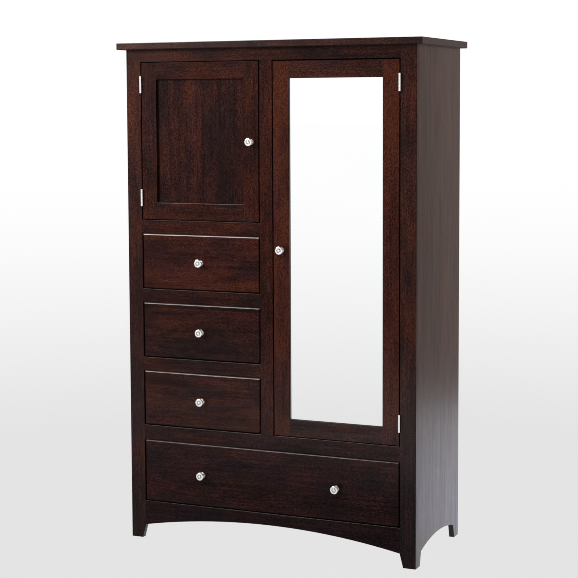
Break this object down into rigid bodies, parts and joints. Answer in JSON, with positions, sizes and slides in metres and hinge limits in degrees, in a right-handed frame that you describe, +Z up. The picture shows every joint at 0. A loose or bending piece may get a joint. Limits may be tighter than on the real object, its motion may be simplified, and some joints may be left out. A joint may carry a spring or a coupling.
{
  "type": "armoire",
  "caption": "Free-standing armoire: a panelled cupboard door over small drawers beside a mirror-door wardrobe, a wide drawer below, and an arched base on tapered feet.",
  "frame": {"origin": "on the floor, under the middle of the top", "axes": "+X to the right seen from the front, +Y to the back, +Z up; the front faces -Y"},
  "size_m": [1.219, 0.534, 1.905],
  "materials": {
    "stained_wood": "dark espresso-mahogany stain under satin lacquer",
    "back_board": "stained plywood and hardboard, matt",
    "drawer_box_wood": "clear-lacquered pale hardwood",
    "satin_nickel": "satin nickel plate",
    "zinc_steel": "bright zinc plate",
    "mirror": "flat silvered glass"
  },
  "bodies": {
    "case": {"top_panel": "stained_wood", "side_panel_left": "stained_wood", "side_panel_right": "stained_wood", "face_stile_left": "stained_wood", "face_stile_right": "stained_wood", "face_stile_centre": "stained_wood", "face_rail_top": "stained_wood", "face_rails_left_column": "stained_wood", "face_rail_over_bottom_drawer": "stained_wood", "front_apron": "stained_wood", "case_stretchers": "stained_wood", "partition": "stained_wood", "bottom_panel": "stained_wood", "deck_panel": "stained_wood", "cupboard_floor": "stained_wood", "adjustable_shelf": "stained_wood", "back_panel": "back_board", "slide_spacers": "drawer_box_wood", "shelf_pins": "satin_nickel", "hanging_rod": "satin_nickel", "rod_sockets": "satin_nickel", "hinge_case_leaves": "satin_nickel", "hinge_pins": "satin_nickel", "slide_case_members": "zinc_steel", "magnetic_catches": "zinc_steel"},
    "cupboard_door": {"cupboard_door_stiles": "stained_wood", "cupboard_door_rails": "stained_wood", "cupboard_door_panel": "stained_wood", "cupboard_door_hinge_leaves": "satin_nickel", "cupboard_door_knob": "satin_nickel", "cupboard_door_strike": "zinc_steel"},
    "mirror_door": {"mirror_door_stiles": "stained_wood", "mirror_door_rails": "stained_wood", "mirror_stops": "stained_wood", "mirror_backing": "back_board", "mirror_door_hinge_leaves": "satin_nickel", "mirror_door_knob": "satin_nickel", "mirror_door_strike": "zinc_steel", "mirror_glass": "mirror"},
    "drawer_1": {"drawer_1_front": "stained_wood", "drawer_1_box": "drawer_box_wood", "drawer_1_knob": "satin_nickel", "drawer_1_runners": "zinc_steel"},
    "drawer_1_slides": {"drawer_1_mid_slides": "zinc_steel"},
    "drawer_2": {"drawer_2_front": "stained_wood", "drawer_2_box": "drawer_box_wood", "drawer_2_knob": "satin_nickel", "drawer_2_runners": "zinc_steel"},
    "drawer_2_slides": {"drawer_2_mid_slides": "zinc_steel"},
    "drawer_3": {"drawer_3_front": "stained_wood", "drawer_3_box": "drawer_box_wood", "drawer_3_knob": "satin_nickel", "drawer_3_runners": "zinc_steel"},
    "drawer_3_slides": {"drawer_3_mid_slides": "zinc_steel"},
    "drawer_4": {"drawer_4_front": "stained_wood", "drawer_4_box": "drawer_box_wood", "drawer_4_knobs": "satin_nickel", "drawer_4_runners": "zinc_steel"},
    "drawer_4_slides": {"drawer_4_mid_slides": "zinc_steel"}
  },
  "joints": [
    {"name": "cupboard_door_hinge", "type": "hinge", "parent": "case", "child": "cupboard_door", "pos_m": [-0.51875, -0.2454, 1.5345], "axis": [0, 0, -1], "range_deg": [0, 170]},
    {"name": "mirror_door_hinge", "type": "hinge", "parent": "case", "child": "mirror_door", "pos_m": [0.51875, -0.2454, 1.1385], "axis": [0, 0, 1], "range_deg": [0, 170]},
    {"name": "drawer_1_pull", "type": "slide", "parent": "case", "child": "drawer_1", "axis": [0, -1, 0], "range_m": [0, 0.4]},
    {"name": "drawer_1_slide_extension", "type": "slide", "parent": "case", "child": "drawer_1_slides", "axis": [0, -1, 0], "range_m": [0, 0.2]},
    {"name": "drawer_2_pull", "type": "slide", "parent": "case", "child": "drawer_2", "axis": [0, -1, 0], "range_m": [0, 0.4]},
    {"name": "drawer_2_slide_extension", "type": "slide", "parent": "case", "child": "drawer_2_slides", "axis": [0, -1, 0], "range_m": [0, 0.2]},
    {"name": "drawer_3_pull", "type": "slide", "parent": "case", "child": "drawer_3", "axis": [0, -1, 0], "range_m": [0, 0.4]},
    {"name": "drawer_3_slide_extension", "type": "slide", "parent": "case", "child": "drawer_3_slides", "axis": [0, -1, 0], "range_m": [0, 0.2]},
    {"name": "drawer_4_pull", "type": "slide", "parent": "case", "child": "drawer_4", "axis": [0, -1, 0], "range_m": [0, 0.4]},
    {"name": "drawer_4_slide_extension", "type": "slide", "parent": "case", "child": "drawer_4_slides", "axis": [0, -1, 0], "range_m": [0, 0.2]}
  ],
  "couplings": [
    {"joint": "drawer_1_slide_extension", "follows": "drawer_1_pull", "ratio": 0.5},
    {"joint": "drawer_2_slide_extension", "follows": "drawer_2_pull", "ratio": 0.5},
    {"joint": "drawer_3_slide_extension", "follows": "drawer_3_pull", "ratio": 0.5},
    {"joint": "drawer_4_slide_extension", "follows": "drawer_4_pull", "ratio": 0.5}
  ]
}
